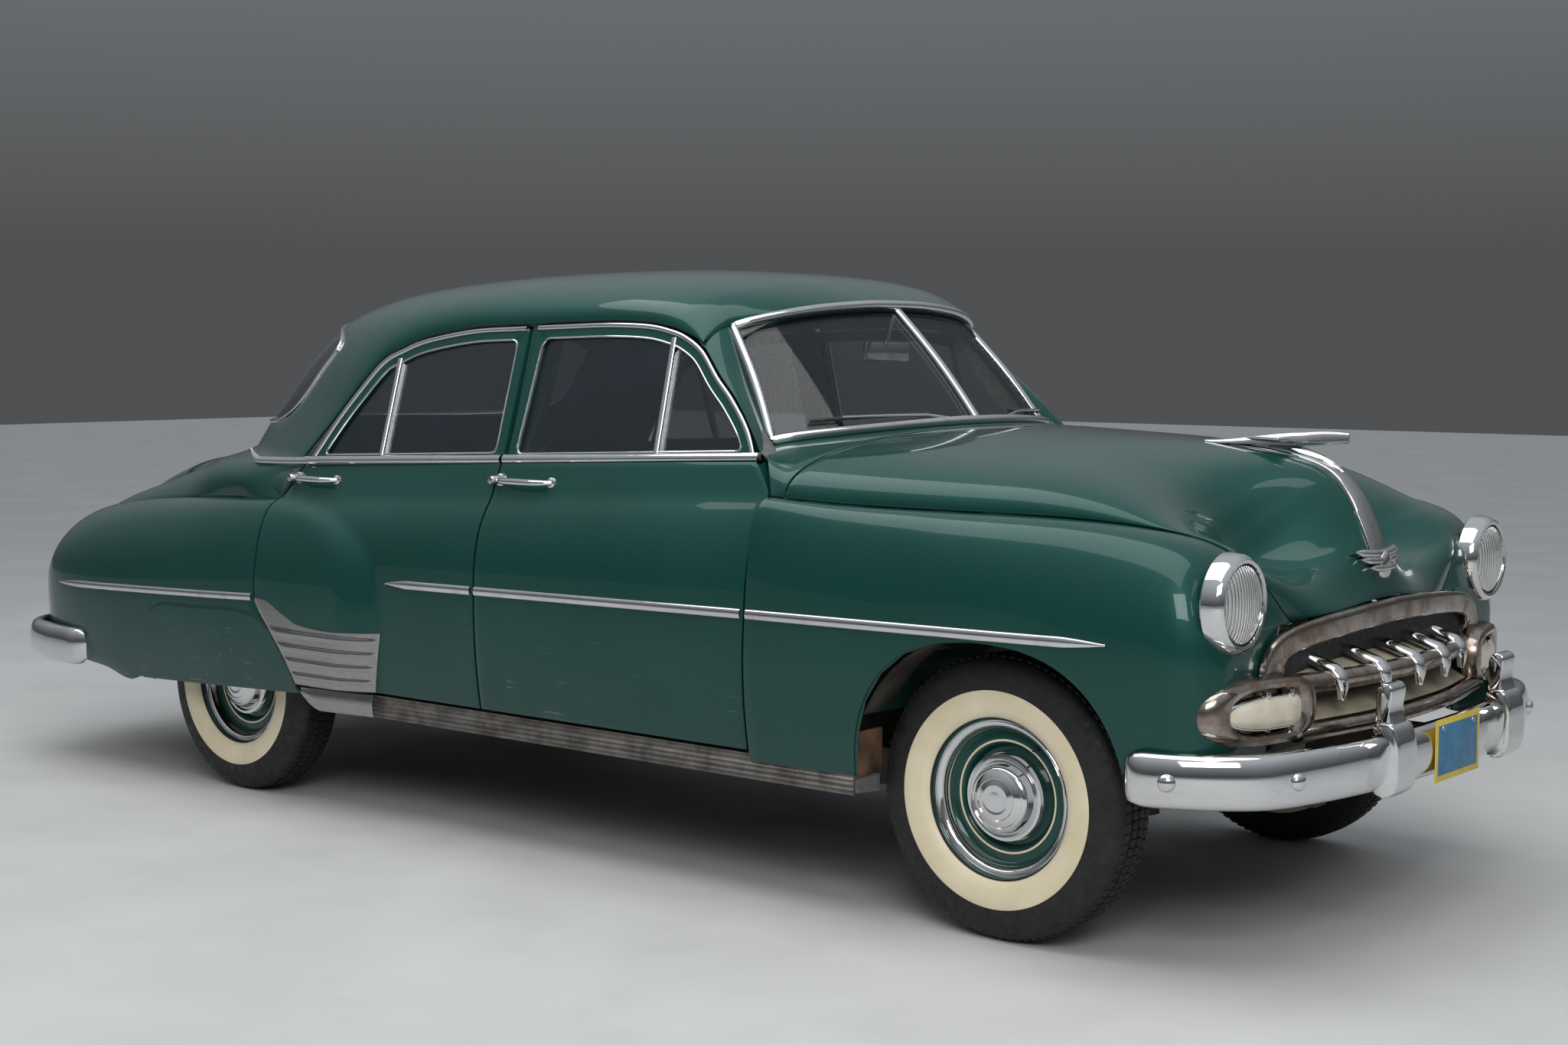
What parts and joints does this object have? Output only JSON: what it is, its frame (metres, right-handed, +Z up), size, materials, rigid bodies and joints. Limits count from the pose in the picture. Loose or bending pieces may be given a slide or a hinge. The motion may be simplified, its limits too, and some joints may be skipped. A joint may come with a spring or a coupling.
{
  "type": "four-door sedan car",
  "caption": "Rounded post-war sedan with opening doors, hood and deck lid, steered front wheels, skirted rear wheels, split windscreen and a chrome toothed grille.",
  "frame": {"origin": "on the road under the middle of the car's length and width", "axes": "+X forward, +Y to the car's left, +Z up"},
  "size_m": [5.021, 1.896, 1.665],
  "materials": {
    "body_paint": "dark green metallic gloss",
    "wheel_paint": "dark green gloss",
    "chrome": "worn plate",
    "glass": "clear",
    "lamp_clear": "ribbed",
    "lamp_red": "red",
    "plate_paint": "blank",
    "seat_cloth": "woven",
    "dash_paint": "satin",
    "wheel_plastic": "dark",
    "chassis_black": "matt, dusty",
    "engine_iron": "dusty",
    "tyre": "black with pale sidewall band"
  },
  "bodies": {
    "car": {"frame": "chassis_black", "floor": "chassis_black", "body_shell": "body_paint", "fender_front_right": "body_paint", "fender_front_left": "body_paint", "fender_rear_right": "body_paint", "fender_rear_left": "body_paint", "skirt_right": "body_paint", "skirt_left": "body_paint", "grille": "chrome", "headlamp_right": "chrome", "headlamp_left": "chrome", "parking_lamp_right": "lamp_clear", "parking_lamp_left": "lamp_clear", "tail_lamp_right": "lamp_red", "tail_lamp_left": "lamp_red", "bumper_front": "chrome", "bumper_rear": "chrome", "plate": "plate_paint", "windscreen": "glass", "rear_window": "glass", "dash": "dash_paint", "seat_front": "seat_cloth", "seat_rear": "seat_cloth", "steering_column": "chassis_black", "engine": "engine_iron", "exhaust": "chassis_black", "fuel_tank": "chassis_black", "front_suspension": "chassis_black", "rear_axle": "chassis_black"},
    "hood": {"hood": "body_paint", "hood_ornament": "chrome"},
    "deck_lid": {"deck_lid": "body_paint"},
    "door_front_right": {"door_front_right": "body_paint", "glass_front_right": "glass"},
    "door_front_left": {"door_front_left": "body_paint", "glass_front_left": "glass"},
    "door_rear_right": {"door_rear_right": "body_paint", "glass_rear_right": "glass"},
    "door_rear_left": {"door_rear_left": "body_paint", "glass_rear_left": "glass"},
    "steering_wheel": {"steering_wheel": "wheel_plastic"},
    "knuckle_right": {"knuckle_right": "chassis_black"},
    "knuckle_left": {"knuckle_left": "chassis_black"},
    "wheel_front_right": {"wheel_front_right": "wheel_paint", "tyre_front_right": "tyre"},
    "wheel_front_left": {"wheel_front_left": "wheel_paint", "tyre_front_left": "tyre"},
    "wheel_rear_right": {"wheel_rear_right": "wheel_paint", "tyre_rear_right": "tyre"},
    "wheel_rear_left": {"wheel_rear_left": "wheel_paint", "tyre_rear_left": "tyre"}
  },
  "joints": [
    {"name": "hood_hinge", "type": "hinge", "parent": "car", "child": "hood", "pos_m": [1.035, 0, 1.183], "axis": [0, -1, 0], "range_deg": [0, 50]},
    {"name": "deck_hinge", "type": "hinge", "parent": "car", "child": "deck_lid", "pos_m": [-1.808, 0, 1.03], "axis": [0, 1, 0], "range_deg": [0, 60]},
    {"name": "door_front_right_hinge", "type": "hinge", "parent": "car", "child": "door_front_right", "pos_m": [0.99, -0.903, 0.7], "axis": [0, 0, 1], "range_deg": [0, 65]},
    {"name": "door_front_left_hinge", "type": "hinge", "parent": "car", "child": "door_front_left", "pos_m": [0.99, 0.903, 0.7], "axis": [0, 0, -1], "range_deg": [0, 65]},
    {"name": "door_rear_right_hinge", "type": "hinge", "parent": "car", "child": "door_rear_right", "pos_m": [-0.045, -0.903, 0.7], "axis": [0, 0, 1], "range_deg": [0, 65]},
    {"name": "door_rear_left_hinge", "type": "hinge", "parent": "car", "child": "door_rear_left", "pos_m": [-0.045, 0.903, 0.7], "axis": [0, 0, -1], "range_deg": [0, 65]},
    {"name": "steering", "type": "hinge", "parent": "car", "child": "steering_wheel", "pos_m": [0.623, 0.37, 0.99], "axis": [0.9063, 0, -0.4226], "range_deg": [-540, 540]},
    {"name": "kingpin_right", "type": "hinge", "parent": "car", "child": "knuckle_right", "pos_m": [1.673, -0.645, 0.351], "axis": [0, 0, 1], "range_deg": [-30, 30]},
    {"name": "kingpin_left", "type": "hinge", "parent": "car", "child": "knuckle_left", "pos_m": [1.673, 0.645, 0.351], "axis": [0, 0, 1], "range_deg": [-30, 30]},
    {"name": "wheel_front_right_spin", "type": "hinge", "parent": "knuckle_right", "child": "wheel_front_right", "pos_m": [1.673, -0.72, 0.351], "axis": [0, 1, 0], "continuous": true},
    {"name": "wheel_front_left_spin", "type": "hinge", "parent": "knuckle_left", "child": "wheel_front_left", "pos_m": [1.673, 0.72, 0.351], "axis": [0, 1, 0], "continuous": true},
    {"name": "wheel_rear_right_spin", "type": "hinge", "parent": "car", "child": "wheel_rear_right", "pos_m": [-1.248, -0.746, 0.351], "axis": [0, 1, 0], "continuous": true},
    {"name": "wheel_rear_left_spin", "type": "hinge", "parent": "car", "child": "wheel_rear_left", "pos_m": [-1.248, 0.746, 0.351], "axis": [0, 1, 0], "continuous": true}
  ],
  "couplings": [
    {"joint": "kingpin_right", "follows": "steering", "ratio": -0.055556},
    {"joint": "kingpin_left", "follows": "steering", "ratio": -0.055556}
  ]
}
